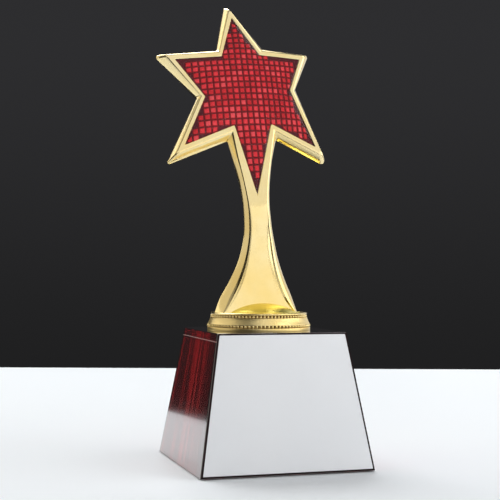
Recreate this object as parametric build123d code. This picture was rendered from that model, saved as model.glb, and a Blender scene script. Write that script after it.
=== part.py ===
from build123d import *
import os
from math import atan2, cos, degrees, radians, sin

# Star trophy: a gilded star on a waisted stem, standing on a beaded collar and a lacquered wooden base.
# Millimetres. Origin: middle of the felt underside, on the surface it stands on.
# +X is the reader's right when facing the name plate, +Y goes to the back, +Z is up.

# ---- driving dimensions ----
# wooden base, a square pyramid frustum
BASE_BOTTOM = 100.0
BASE_TOP = 75.0
BASE_HEIGHT = 76.8
PANEL_WALL = 6.0
TOP_BOARD = 4.6
BOTTOM_BOARD = 6.0
ARRIS = 0.5
FELT = 0.5
FELT_INSET = 1.5
BLOCK_SIDE = 16.0
BLOCK_HEIGHT = 20.0

# name plate on the front panel
PLATE_MARGIN = 1.0
PLATE_SHEET = 0.8
PLATE_GLUE = 0.15

# collar, turned about its own axis
COLLAR_X = -2.2
COLLAR_RADIUS = 30.2
COLLAR_HEIGHT = 10.2
RIM_RADIUS = 28.1
RIM_CHAMFER = 0.4
CAP_RADIUS = 21.5
CAP_RISE = 5.7
CAP_WALL = 2.0
COLLAR_WALL = 3.0
HUB_RADIUS = 9.0
# its half section from the foot up to the rim: (radius, height over the base)
COLLAR_SECTION = [
    (29.6, 0.0), (30.0, 0.8), (29.4, 1.4), (29.4, 1.7), (COLLAR_RADIUS, 2.1), (COLLAR_RADIUS, 3.3),
    (29.9, 3.8), (29.1, 5.4), (28.4, 7.2), (27.8, 8.4), (RIM_RADIUS, 8.9),
    (RIM_RADIUS, COLLAR_HEIGHT - RIM_CHAMFER), (RIM_RADIUS - RIM_CHAMFER, COLLAR_HEIGHT),
]

# centre bolt, M6
BOLT_RADIUS = 3.0
BOLT_CLEARANCE = 3.3
BOLT_HOLE_IN_BASE = 6.0
BOLT_HEAD_AF = 10.0
BOLT_HEAD = 4.0
WASHER_RADIUS = 12.0
WASHER = 1.6
SPRING_WASHER_RADIUS = 5.8
SPRING_WASHER = 1.6
BOLT_TOP_Z = 100.0
FOOT_BLOCK_LOW = 93.0
FOOT_BLOCK_HIGH = 101.0

# stem: height, centre, half width of the front face, half width at the girdle, half depth
STEM_Y = -1.3
STEM = [
    (86.4, -4.1, 20.5, 25.3, 8.6),
    (95.0, -4.0, 14.7, 22.0, 7.4),
    (105.0, -3.4, 10.2, 17.1, 6.4),
    (117.0, -2.9, 7.4, 12.3, 5.4),
    (130.0, -2.9, 5.8, 9.2, 4.8),
]
NECK_Z = 150.0
NECK_BEND = 60.0
BEND = (-3.7, 5.2, 8.1)
NECK = (-4.1, 5.5, 8.2)
STEM_WALL = 2.2

# star, drawn in its own plane: x to the right, y up the plane from the neck
LEAN = 12.0
STAR_HALF = 4.6
TIP_ROUND = 1.2
LIP_ROUND = 0.5
PANEL = [
    (-13.9, 114.9), (2.4, 92.3), (27.5, 90.7), (20.4, 70.1), (33.8, 35.3), (7.3, 48.1),
    (-4.2, 3.9), (-16.1, 46.4), (-46.6, 33.4), (-33.1, 63.7), (-50.2, 86.2), (-21.6, 90.0),
]
LIP = [
    (-14.3, 118.0), (3.0, 93.9), (29.6, 92.2), (21.9, 70.2), (36.6, 32.2), (8.9, 45.4),
    (2.3, 14.0), (1.4, 0.0), (-9.6, 0.0), (-12.4, 14.0),
    (-17.5, 43.8), (-49.6, 30.2), (-34.8, 63.6), (-53.2, 87.6), (-22.6, 91.6),
]
GIRDLE = [
    (-15.2, 122.7), (5.6, 97.4), (34.2, 94.6), (25.0, 72.4), (40.2, 26.6), (11.6, 39.4),
    (4.9, 14.0), (4.1, 0.0), (-12.3, 0.0), (-14.6, 14.0),
    (-20.3, 37.8), (-56.0, 23.4), (-37.0, 64.6), (-60.4, 88.6), (-23.4, 95.0),
]

# what lies in each face's recess, from the recess floor outwards
RECESS = 1.9
RECESS_FLOOR = 1.4
SHEET = 0.4
MOSAIC_INSET = 2.4
MOSAIC_TOP = 5.3
DOME_TOP = 7.2
CROWN_BALL = 600.0
CROWN_MIDDLE = (-8.0, 63.0)
FIT = 0.1

# screws and pins that hold the two halves of the figure together
SCREW_RADIUS = 1.05
SCREW_HOLE = 1.35
SCREW_HEAD = 2.3
BOSS_RADIUS = 2.8
SCREW_SPOTS = [(-12.0, 79.0), (15.0, 57.0), (-28.0, 50.0)]
PIN_RADIUS = 1.0
PIN_LENGTH = 4.2
PIN_SPOTS = [(-13.0, 99.0), (-4.5, 29.0)]
PLAIN_BELOW = 20.0

# ---- values worked out from them ----
base_drop = BASE_HEIGHT - FELT
slant = degrees(atan2((BASE_BOTTOM - BASE_TOP) / 2, base_drop))
wall_across = PANEL_WALL / cos(radians(slant))
inner_half = STAR_HALF - RECESS - RECESS_FLOOR
recess_floor_at = STAR_HALF - RECESS
rim_z = BASE_HEIGHT + COLLAR_HEIGHT
cap_radius = (CAP_RADIUS**2 + CAP_RISE**2) / (2 * CAP_RISE)
star_plane = Plane(
    origin=(0, 0, NECK_Z), x_dir=(1, 0, 0), z_dir=(0, -cos(radians(LEAN)), sin(radians(LEAN)))
)
bend_low = NECK_Z - NECK_BEND * sin(radians(LEAN))
FAR = 400.0

parts = {}


# ---- wooden base ----
def half_width(z):
    """Half the base's outer width at height z."""
    return BASE_BOTTOM / 2 - (BASE_BOTTOM - BASE_TOP) / 2 * (z - FELT) / base_drop


def frustum(low, high, inward=0.0):
    """The base's square frustum between two heights, each side moved inward."""
    ends = []
    for z in (low, high):
        side = 2 * (half_width(z) - inward)
        ends.append(Pos(0, 0, z) * Rectangle(side, side))
    return loft(ends)


def box_between(low, high):
    size = [b - a for a, b in zip(low, high)]
    middle = [(a + b) / 2 for a, b in zip(low, high)]
    return Pos(*middle) * Box(*size)


def make_base():
    board_z = BASE_HEIGHT - TOP_BOARD
    block = frustum(FELT, BASE_HEIGHT)
    block = fillet(block.edges().filter_by(lambda e: abs(e.bounding_box().size.Z) > 10), ARRIS)
    block = fillet(block.edges().group_by(Axis.Z)[-1], ARRIS)

    top = block & box_between((-FAR, -FAR, board_z), (FAR, FAR, FAR))
    hole = Pos(0, 0, board_z + TOP_BOARD / 2) * Cylinder(BOLT_HOLE_IN_BASE, TOP_BOARD)
    parts["base_top_board"] = top - hole

    walls = block & box_between((-FAR, -FAR, 0), (FAR, FAR, board_z))
    walls = walls - frustum(FELT, board_z, wall_across)
    quarter = extrude(make_face(Polyline((0, 0), (FAR, -FAR), (-FAR, -FAR), close=True)), FAR)
    for turn, side in enumerate(("front", "right", "rear", "left")):
        parts[f"base_{side}_panel"] = walls & (Rot(0, 0, 90 * turn) * quarter)

    board_top = FELT + BOTTOM_BOARD
    bottom = frustum(FELT, board_top, wall_across)
    block_low = board_top
    block_high = board_top + BLOCK_HEIGHT
    inside = frustum(block_low, block_high, wall_across)
    reach = half_width(block_high) - wall_across
    near = reach - BLOCK_SIDE
    blocks = []
    screws = []
    for turn in range(4):
        corner = Rot(0, 0, 90 * turn) * box_between((near, near, 0), (FAR, FAR, FAR))
        spot = Rot(0, 0, 90 * turn) * Pos(near + BLOCK_SIDE / 2, near + BLOCK_SIDE / 2, FELT)
        screw = spot * wood_screw()
        blocks.append((inside & corner) - screw)
        screws.append(screw)
        bottom = bottom - screw
    parts["base_bottom_board"] = bottom
    parts["corner_blocks"] = Compound(children=blocks)
    parts["bottom_screws"] = Compound(children=screws)

    side = BASE_BOTTOM - 2 * FELT_INSET
    parts["felt_pad"] = Pos(0, 0, FELT / 2) * extrude(
        RectangleRounded(side, side, 2.0), FELT / 2, both=True
    )


def wood_screw():
    """A countersunk 4 x 20 wood screw, head down, its head flush with z = 0."""
    half_section = Polyline(
        (0, 0), (3.8, 0), (3.8, 0.4), (1.9, 2.4), (1.9, 16.0), (0.3, 20.0), (0, 20.0), close=True
    )
    return revolve(make_face(Plane.XZ * half_section), Axis.Z)


# ---- name plate ----
def make_plate():
    face = Plane(
        origin=(0, -BASE_BOTTOM / 2, FELT),
        x_dir=(1, 0, 0),
        z_dir=(0, -cos(radians(slant)), sin(radians(slant))),
    )
    height = base_drop / cos(radians(slant))
    low, high = PLATE_MARGIN, height - PLATE_MARGIN
    shrink = (BASE_BOTTOM - BASE_TOP) / 2 / height
    low_half = BASE_BOTTOM / 2 - low * shrink - PLATE_MARGIN
    high_half = BASE_BOTTOM / 2 - high * shrink - PLATE_MARGIN
    outline = make_face(
        Polyline((-low_half, low), (low_half, low), (high_half, high), (-high_half, high), close=True)
    )
    outline = fillet(outline.vertices(), 0.6)
    parts["plate_adhesive"] = extrude(face * outline, PLATE_GLUE)
    plate = extrude(face * Pos(0, 0, PLATE_GLUE) * outline, PLATE_SHEET)
    front_edges = plate.faces().sort_by(Axis.Y)[0].edges()
    parts["name_plate"] = chamfer(front_edges, 0.2)


# ---- collar ----
def collar_profile():
    """Half section of the solid collar, before its underside is hollowed."""
    rings = [(radius, BASE_HEIGHT + height) for radius, height in COLLAR_SECTION]
    return make_face(Plane.XZ * Polyline((0, BASE_HEIGHT), *rings, (0, rim_z), close=True))


def cap_ball(drop=0.0):
    """The ball whose top is the collar's domed cap, less a wall when hollowing."""
    middle = rim_z + CAP_RISE - cap_radius
    return Pos(0, 0, middle) * Sphere(cap_radius - drop)


def collar_envelope():
    """The collar before it is hollowed and bored: its rings and its domed cap."""
    body = revolve(collar_profile(), Axis.Z)
    dome = cap_ball() & box_between((-RIM_RADIUS, -RIM_RADIUS, rim_z), (RIM_RADIUS, RIM_RADIUS, FAR))
    return Pos(COLLAR_X, 0, 0) * (body + dome)


def make_collar(envelope):
    hollow = Pos(0, 0, rim_z) * Cylinder(RIM_RADIUS - COLLAR_WALL, 60)
    hollow = hollow & cap_ball(CAP_WALL) & box_between((-FAR, -FAR, BASE_HEIGHT), (FAR, FAR, FAR))
    hub = Pos(0, 0, BASE_HEIGHT) * Cylinder(HUB_RADIUS, 40)
    bore = Pos(0, 0, BASE_HEIGHT) * Cylinder(BOLT_CLEARANCE, 60)
    axis = Pos(COLLAR_X, 0, 0)
    parts["collar"] = envelope - axis * (hollow - hub) - axis * bore


# ---- figure ----
def star_face(points, forward, corner):
    """A star outline in its plane, rounded above the neck, forward of the mid plane."""
    face = make_face(Polyline(*points, close=True))
    points_of_star = face.vertices().filter_by(lambda v: v.Y > PLAIN_BELOW)
    return star_plane * Pos(0, 0, forward) * fillet(points_of_star, corner)


def stem_section(size, depth, wall):
    """Six-sided stem section: flat front and back, sides running out to a girdle."""
    centre, face, girdle = size[0], size[1] - wall, size[2] - 1.5 * wall
    depth = depth - wall
    outline = Polyline(
        (centre - face, -depth), (centre + face, -depth), (centre + girdle, 0),
        (centre + face, depth), (centre - face, depth), (centre - girdle, 0), close=True,
    )
    return make_face(outline)


def leaning_plane(z, lean):
    """A cross-section plane of the stem where it bends back from upright to the star's lean."""
    y = STEM_Y + NECK_BEND * (1 - cos(radians(lean)))
    return Plane(origin=(0, y, z), x_dir=(1, 0, 0), z_dir=(0, sin(radians(lean)), cos(radians(lean))))


def stem(wall=0.0):
    """The stem from the collar's rim to the neck; with a wall, its hollow inside."""
    sections = []
    for z, centre, face, girdle, depth in STEM:
        shape = stem_section((centre, face, girdle), depth, wall)
        sections.append(Pos(0, STEM_Y, z) * shape)
    half_lean = LEAN / 2
    bend_z = bend_low + NECK_BEND * sin(radians(half_lean))
    sections.append(leaning_plane(bend_z, half_lean) * stem_section(BEND, STAR_HALF, wall))
    sections.append(leaning_plane(NECK_Z, LEAN) * stem_section(NECK, STAR_HALF, wall))
    return loft(sections)


def star_body():
    front = loft([star_face(GIRDLE, 0, TIP_ROUND), star_face(LIP, STAR_HALF, LIP_ROUND)], ruled=True)
    return front + mirror(front, about=star_plane)


def recess(side):
    """The pocket that holds one face's panel; side is +1 at the front and -1 at the back."""
    return star_slab(PANEL, recess_floor_at, STAR_HALF + 5, side)


def star_slab(points, near, far, side, inset=0.0):
    """A plate of a star outline between two distances from the mid plane."""
    face = make_face(Polyline(*points, close=True))
    if inset:
        face = offset(face, -inset, kind=Kind.INTERSECTION)
    slab = extrude(star_plane * Pos(0, 0, near) * face, far - near)
    return slab if side > 0 else mirror(slab, about=star_plane)


def front_of_seam():
    """Everything in front of the seam, which follows the stem's and the star's mid plane."""
    half_lean = radians(LEAN / 2)
    middle = (STEM_Y + NECK_BEND * (1 - cos(half_lean)), bend_low + NECK_BEND * sin(half_lean))
    top = (FAR * sin(radians(LEAN)), NECK_Z + FAR * cos(radians(LEAN)))
    bend = ThreePointArc((STEM_Y, bend_low), middle, (0, NECK_Z))
    rest = Polyline((0, NECK_Z), top, (-FAR, top[1]), (-FAR, 0), (STEM_Y, 0), (STEM_Y, bend_low))
    return extrude(Plane.YZ * make_face(bend + rest), FAR, both=True)


def at_spots(spots, shape):
    return [star_plane * Pos(x, y, 0) * shape for x, y in spots]


def figure_screw():
    """A countersunk M2.5 screw, its head in the rear recess floor, its tip in the front half."""
    head = -recess_floor_at
    half_section = Polyline(
        (0, head), (SCREW_HEAD, head), (SCREW_RADIUS, head + 1.25),
        (SCREW_RADIUS, inner_half + 0.6), (0, inner_half + 0.6), close=True,
    )
    return revolve(make_face(Plane.XZ * half_section), Axis.Z)


def make_figure(envelope):
    body = star_body() + stem() - recess(1) - recess(-1) - envelope
    hollow = star_slab(PANEL, -inner_half, inner_half, 1, MOSAIC_INSET)
    hollow = hollow + (stem(STEM_WALL) & box_between((-FAR, -FAR, 0), (FAR, FAR, NECK_Z - 4)))
    body = body - hollow
    front_region = front_of_seam()
    front = body & front_region
    rear = body - front_region

    gap = 2 * inner_half
    for boss in at_spots(SCREW_SPOTS, Cylinder(BOSS_RADIUS, gap)):
        front = front + boss
    screws = at_spots(SCREW_SPOTS, figure_screw())
    pins = at_spots(PIN_SPOTS, Cylinder(PIN_RADIUS, PIN_LENGTH))
    for piece in at_spots(SCREW_SPOTS, Cylinder(SCREW_HOLE, 2 * recess_floor_at)):
        rear = rear - piece
    for piece in screws + pins:
        front = front - piece
        rear = rear - piece
    parts["figure_front_half"] = front
    parts["figure_rear_half"] = rear
    parts["figure_screws"] = Compound(children=screws)
    parts["locating_pins"] = Compound(children=pins)

    slab = box_between((-FAR, -FAR, FOOT_BLOCK_LOW), (FAR, FAR, FOOT_BLOCK_HIGH))
    tapped = Pos(COLLAR_X, 0, FOOT_BLOCK_LOW) * Cylinder(BOLT_RADIUS, 60)
    parts["foot_block"] = (stem(STEM_WALL) & slab) - tapped


def crown(top, side):
    """A large ball whose surface is the crown of the mosaic or of the clear dome."""
    return star_plane * Pos(*CROWN_MIDDLE, side * (top - CROWN_BALL)) * Sphere(CROWN_BALL)


def make_panels():
    """Backing sheet, crowned mosaic and clear dome, the same at the front and at the back."""
    floor = recess_floor_at
    above = STAR_HALF + 5
    for name, side in (("front", 1), ("rear", -1)):
        sheet = star_slab(PANEL, floor, floor + SHEET, side, FIT)
        tiles = star_slab(PANEL, floor + SHEET, above, side, MOSAIC_INSET) & crown(MOSAIC_TOP, side)
        dome = star_slab(PANEL, floor + SHEET, above, side, FIT) & crown(DOME_TOP, side)
        parts[f"{name}_backing_sheet"] = sheet
        parts[f"{name}_mosaic"] = tiles
        parts[f"{name}_clear_dome"] = dome - tiles


# ---- centre bolt and washers ----
def make_fastening():
    seat = BASE_HEIGHT - TOP_BOARD
    axis = Pos(COLLAR_X, 0, 0)
    z = seat - WASHER
    parts["flat_washer"] = axis * ring(WASHER_RADIUS, BOLT_CLEARANCE, z, WASHER)
    z = z - SPRING_WASHER
    parts["spring_washer"] = axis * ring(SPRING_WASHER_RADIUS, BOLT_CLEARANCE, z, SPRING_WASHER)
    head = Pos(0, 0, z - BOLT_HEAD) * extrude(
        RegularPolygon(BOLT_HEAD_AF / 2, 6, major_radius=False), BOLT_HEAD
    )
    length = BOLT_TOP_Z - z
    shank = Pos(0, 0, z + length / 2) * Cylinder(BOLT_RADIUS, length)
    parts["centre_bolt"] = axis * (head + shank)


def ring(outer, inner, low, thick):
    return Pos(0, 0, low + thick / 2) * (Cylinder(outer, thick) - Cylinder(inner, thick))


make_base()
make_plate()
envelope = collar_envelope()
make_collar(envelope)
make_figure(envelope)
make_panels()
make_fastening()

os.makedirs("parts", exist_ok=True)
for name, shape in parts.items():
    export_step(shape, f"parts/{name}.step")
    print(name, len(shape.solids()), round(shape.volume, 1))
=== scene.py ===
"""Looks of the star trophy: gilded figure, red mosaic panels, beaded collar and lacquered base."""

import logging
import math
import random
from collections.abc import Callable
from dataclasses import dataclass, field
from enum import Enum

import bmesh
import bpy
from mathutils import Matrix, Vector

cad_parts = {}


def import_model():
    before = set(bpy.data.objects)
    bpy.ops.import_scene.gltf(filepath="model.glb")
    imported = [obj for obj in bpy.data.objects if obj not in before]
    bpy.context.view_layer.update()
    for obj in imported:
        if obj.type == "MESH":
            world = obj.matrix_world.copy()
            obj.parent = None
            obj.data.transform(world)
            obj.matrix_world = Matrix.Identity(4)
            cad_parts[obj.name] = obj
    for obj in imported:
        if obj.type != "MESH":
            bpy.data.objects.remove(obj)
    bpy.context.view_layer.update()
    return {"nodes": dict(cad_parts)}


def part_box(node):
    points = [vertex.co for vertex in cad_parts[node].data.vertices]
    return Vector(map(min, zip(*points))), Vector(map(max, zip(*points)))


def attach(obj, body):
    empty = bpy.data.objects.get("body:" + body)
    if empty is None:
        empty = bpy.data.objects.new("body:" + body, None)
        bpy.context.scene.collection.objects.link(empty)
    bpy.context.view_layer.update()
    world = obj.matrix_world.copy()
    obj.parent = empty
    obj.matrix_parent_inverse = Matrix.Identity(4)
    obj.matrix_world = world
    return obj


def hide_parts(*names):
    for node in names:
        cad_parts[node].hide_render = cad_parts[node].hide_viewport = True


log = logging.getLogger("star_trophy")

MM = 0.001
BODY = "root"

Point = tuple[float, float]
Triple = tuple[float, float, float]
Colour = Triple
Socket = bpy.types.NodeSocket
Material = bpy.types.Material
Mesh = bmesh.types.BMesh
Vert = bmesh.types.BMVert
Edge = bmesh.types.BMEdge
Face = bmesh.types.BMFace
Station = tuple[Vector, Vector, float]
Ring = list[tuple[Vert, Station]]

UP = (0.0, 0.0, 1.0)
DOWN = (0.0, 0.0, -1.0)
ORIGIN = (0.0, 0.0, 0.0)
MIDDLING = (0.3, 0.7)
WELD = 1e-7
TOUCH = 1e-6
NORMAL_WEIGHT = 90
ARC_REACH = 0.45
LEAST_MITRE = 0.35


class Side(Enum):
    """The two faces of the star."""

    FRONT = 1
    REAR = -1


# ---------------------------------------------------------------- node trees


class Shading:
    """A material's node tree, with short calls to add and join nodes."""

    def __init__(self, name: str) -> None:
        """Start a material.

        Args:
            name: the material's name.
        """
        self.material = bpy.data.materials.new(name)
        self.material.use_nodes = True
        self.nodes = self.material.node_tree.nodes
        self.links = self.material.node_tree.links
        self.nodes.clear()
        self.output = self.nodes.new("ShaderNodeOutputMaterial")
        self.place = self.nodes.new("ShaderNodeTexCoord").outputs["Object"]

    def axes(self) -> bpy.types.bpy_prop_collection:
        """The object coordinates split into X, Y and Z sockets."""
        split = self.node("ShaderNodeSeparateXYZ")
        self.feed(split.inputs[0], self.place)
        return split.outputs

    def node(self, kind: str, **settings) -> bpy.types.Node:
        """Add a node.

        Args:
            kind: the node's type name.
            settings: properties to set on it.

        Returns:
            The new node.
        """
        made = self.nodes.new(kind)
        for name, value in settings.items():
            setattr(made, name, value)
        return made

    def feed(self, target: bpy.types.NodeSocket, value) -> None:
        """Give an input a socket's output or a plain value.

        Args:
            target: the input socket.
            value: an output socket, a number, a vector or a colour.
        """
        if isinstance(value, bpy.types.NodeSocket):
            self.links.new(value, target)
        elif hasattr(target.default_value, "__len__") and len(target.default_value) == 4:
            target.default_value = (*value[:3], 1.0)
        else:
            target.default_value = value

    def principled(self, **inputs) -> bpy.types.Node:
        """Add the main shader.

        Args:
            inputs: its inputs, with underscores for spaces.

        Returns:
            The Principled node.
        """
        shader = self.node("ShaderNodeBsdfPrincipled")
        for name, value in inputs.items():
            self.feed(shader.inputs[name.replace("_", " ")], value)
        return shader

    def stretched(self, scale: Triple) -> Socket:
        """Object coordinates, scaled.

        Args:
            scale: repeats per metre along each axis.

        Returns:
            The mapped vector socket.
        """
        mapping = self.node("ShaderNodeMapping")
        self.feed(mapping.inputs["Vector"], self.place)
        mapping.inputs["Scale"].default_value = scale
        return mapping.outputs["Vector"]

    def noise(self, vector: Socket, scale: float, detail: float = 3.0, rough: float = 0.5) -> Socket:
        """Noise value between 0 and 1.

        Args:
            vector: where it is read.
            scale: its scale on that vector.
            detail: number of octaves.
            rough: share of the finer octaves.

        Returns:
            The value socket.
        """
        noise = self.node("ShaderNodeTexNoise")
        self.feed(noise.inputs["Vector"], vector)
        noise.inputs["Scale"].default_value = scale
        noise.inputs["Detail"].default_value = detail
        noise.inputs["Roughness"].default_value = rough
        return noise.outputs["Fac"]

    def ramp(self, value: Socket, *stops: tuple[float, Colour]) -> Socket:
        """Colour ramp.

        Args:
            value: the value socket that drives it.
            stops: position and colour of each stop.

        Returns:
            The colour socket.
        """
        ramp = self.node("ShaderNodeValToRGB")
        self.feed(ramp.inputs["Fac"], value)
        elements = ramp.color_ramp.elements
        while len(elements) < len(stops):
            elements.new(0.5)
        for element, (position, colour) in zip(elements, stops):
            element.position = position
            element.color = (*colour, 1.0)
        return ramp.outputs["Color"]

    def span(self, value: Socket, low: float, high: float, to_low: float = 0.0,
             to_high: float = 1.0) -> Socket:
        """Map a value's span to another, clamped and smooth.

        Args:
            value: the value socket.
            low: start of its span.
            high: end of its span.
            to_low: result at the start.
            to_high: result at the end.

        Returns:
            The value socket.
        """
        mapped = self.node("ShaderNodeMapRange", interpolation_type="SMOOTHSTEP")
        self.feed(mapped.inputs["Value"], value)
        limits = {"From Min": low, "From Max": high, "To Min": to_low, "To Max": to_high}
        for name, limit in limits.items():
            mapped.inputs[name].default_value = limit
        return mapped.outputs["Result"]

    def sum(self, operation: str, first: Socket | float, second: Socket | float = 0.0) -> Socket:
        """Math node.

        Args:
            operation: its operation.
            first: its first input.
            second: its second input.

        Returns:
            The value socket.
        """
        node = self.node("ShaderNodeMath", operation=operation)
        self.feed(node.inputs[0], first)
        self.feed(node.inputs[1], second)
        return node.outputs[0]

    def blend(self, first: Socket, share: float, second: Socket) -> Socket:
        """Add two values by their shares.

        Args:
            first: the first value.
            share: its share, the second has the rest.
            second: the second value.

        Returns:
            The value socket.
        """
        rest = round(1.0 - share, 6)
        return self.sum("ADD", self.sum("MULTIPLY", first, share), self.sum("MULTIPLY", second, rest))

    def mix(self, share: Socket | float, first: Socket | Colour, second: Socket | Colour) -> Socket:
        """Mix two colours.

        Args:
            share: how much of the second.
            first: colour or socket.
            second: colour or socket.

        Returns:
            The colour socket.
        """
        node = self.node("ShaderNodeMix", data_type="RGBA", blend_type="MIX")
        self.feed(node.inputs["Factor"], share)
        self.feed(node.inputs[6], first)
        self.feed(node.inputs[7], second)
        return node.outputs[2]

    def bump(self, height: Socket, strength: float, distance: float,
             under: Socket | None = None) -> Socket:
        """Bump normal.

        Args:
            height: the height socket.
            strength: how strongly it acts.
            distance: height of the relief in metres.
            under: normal socket of a coarser relief under it, if any.

        Returns:
            The normal socket.
        """
        bump = self.node("ShaderNodeBump")
        self.feed(bump.inputs["Height"], height)
        if under is not None:
            self.links.new(under, bump.inputs["Normal"])
        bump.inputs["Strength"].default_value = strength
        bump.inputs["Distance"].default_value = distance
        return bump.outputs["Normal"]

    def finish(self, shader: bpy.types.Node) -> Material:
        """Join the last shader to the output.

        Args:
            shader: the shader node.

        Returns:
            The finished material.
        """
        self.links.new(shader.outputs[0], self.output.inputs["Surface"])
        return self.material


# ---------------------------------------------------------------- finishes


@dataclass(frozen=True)
class PolishedGold:
    """Polished pale gold plate with a soft haze; the hammered kind has a fine dimpled relief. Towards the
    foot the gold is painted deeper and darker as painted shade.
    """

    name: str = "polished_gold"
    pale: Colour = (0.98, 0.82, 0.45)
    deep: Colour = (0.93, 0.70, 0.27)
    roughness: tuple[float, float] = (0.13, 0.22)
    dimples: float = 0.0
    # foot and neck: heights in metres where the painted shade goes from deep gold at the foot to pale gold at
    # the neck
    foot: float = 0.09
    neck: float = 0.16

    def build(self) -> Material:
        """Build the material."""
        s = Shading(self.name)
        cloud = s.noise(s.place, 55.0, 3.0)
        # painted shade: deeper gold low down, fading out between the foot and neck heights
        low = s.span(s.axes()["Z"], self.foot, self.neck, 1.0, 0.0)
        share = s.blend(s.span(cloud, *MIDDLING), 0.5, low)
        colour = s.mix(share, self.pale, self.deep)
        marks = s.noise(s.stretched((900.0, 900.0, 120.0)), 1.0, 4.0, 0.6)
        wear = s.noise(s.place, 210.0, 5.0, 0.6)
        blend = s.blend(marks, 0.5, wear)
        relief = s.bump(s.noise(s.place, 38.0, 2.0), 0.25, 0.0002)
        if self.dimples:
            relief = s.bump(s.noise(s.place, 1100.0, 2.0), 0.6, self.dimples, relief)
        shader = s.principled(
            Base_Color=colour, Metallic=1.0, Roughness=s.span(blend, 0.35, 0.7, *self.roughness),
            Normal=relief,
        )
        return s.finish(shader)


@dataclass(frozen=True)
class RedCells:
    """Bright red translucent cells over a metallic ground, each a little different; their sloping sides are
    painted darker as painted shade, and the pale pink top of the ramp is a painted highlight.
    """

    name: str = "red_cells"
    attribute: str = "cell_shade"

    def build(self) -> Material:
        """Build the material."""
        s = Shading(self.name)
        shade = s.node("ShaderNodeAttribute", attribute_name=self.attribute).outputs["Fac"]
        grain = s.noise(s.place, 1400.0, 4.0, 0.65)
        mixed = s.blend(shade, 0.7, grain)
        colour = s.ramp(
            mixed,
            (0.20, (0.16, 0.003, 0.006)),
            (0.38, (0.42, 0.006, 0.012)),
            (0.60, (0.78, 0.016, 0.028)),
            (0.80, (0.97, 0.045, 0.065)),
            # painted highlight: pale pink stop that the brightest cells reach
            (0.95, (1.0, 0.13, 0.15)),
        )
        shader = s.principled(
            Base_Color=colour, Metallic=0.2, Roughness=s.span(grain, *MIDDLING, 0.25, 0.42),
            Normal=s.bump(grain, 0.35, 0.00015),
        )
        shader.inputs["Specular IOR Level"].default_value = 0.15
        return s.finish(shader)


@dataclass(frozen=True)
class MaroonGround:
    """Dark red-brown ground of the grid lines and the plain margin."""

    name: str = "maroon_ground"
    low: Colour = (0.085, 0.003, 0.008)
    high: Colour = (0.17, 0.008, 0.020)

    def build(self) -> Material:
        """Build the material."""
        s = Shading(self.name)
        grain = s.noise(s.place, 900.0, 5.0, 0.6)
        cloud = s.noise(s.place, 60.0, 2.0)
        colour = s.ramp(
            s.blend(grain, 0.6, cloud),
            (0.3, self.low),
            (0.7, self.high),
        )
        shader = s.principled(
            Base_Color=colour, Metallic=0.1, Roughness=s.span(grain, *MIDDLING, 0.45, 0.65),
            Normal=s.bump(grain, 0.3, 0.0001),
        )
        shader.inputs["Specular IOR Level"].default_value = 0.15
        return s.finish(shader)


@dataclass(frozen=True)
class ClearResin:
    """Clear glossy resin that lets lamps through to what it covers."""

    name: str = "clear_resin"
    tint: Colour = (1.0, 0.93, 0.93)

    def build(self) -> Material:
        """Build the material."""
        s = Shading(self.name)
        wave = s.noise(s.place, 30.0, 2.0)
        smear = s.noise(s.place, 120.0, 4.0, 0.6)
        shader = s.principled(
            Base_Color=self.tint, Roughness=s.span(smear, 0.35, 0.75, 0.015, 0.06),
            Normal=s.bump(wave, 0.2, 0.0006),
        )
        shader.inputs["IOR"].default_value = 1.3
        shader.inputs["Transmission Weight"].default_value = 1.0
        clear = s.node("ShaderNodeBsdfTransparent")
        clear.inputs["Color"].default_value = (*self.tint, 1.0)
        mixer = s.node("ShaderNodeMixShader")
        rays = s.node("ShaderNodeLightPath")
        s.links.new(rays.outputs["Is Shadow Ray"], mixer.inputs[0])
        s.links.new(shader.outputs[0], mixer.inputs[1])
        s.links.new(clear.outputs[0], mixer.inputs[2])
        return s.finish(mixer)


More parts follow.
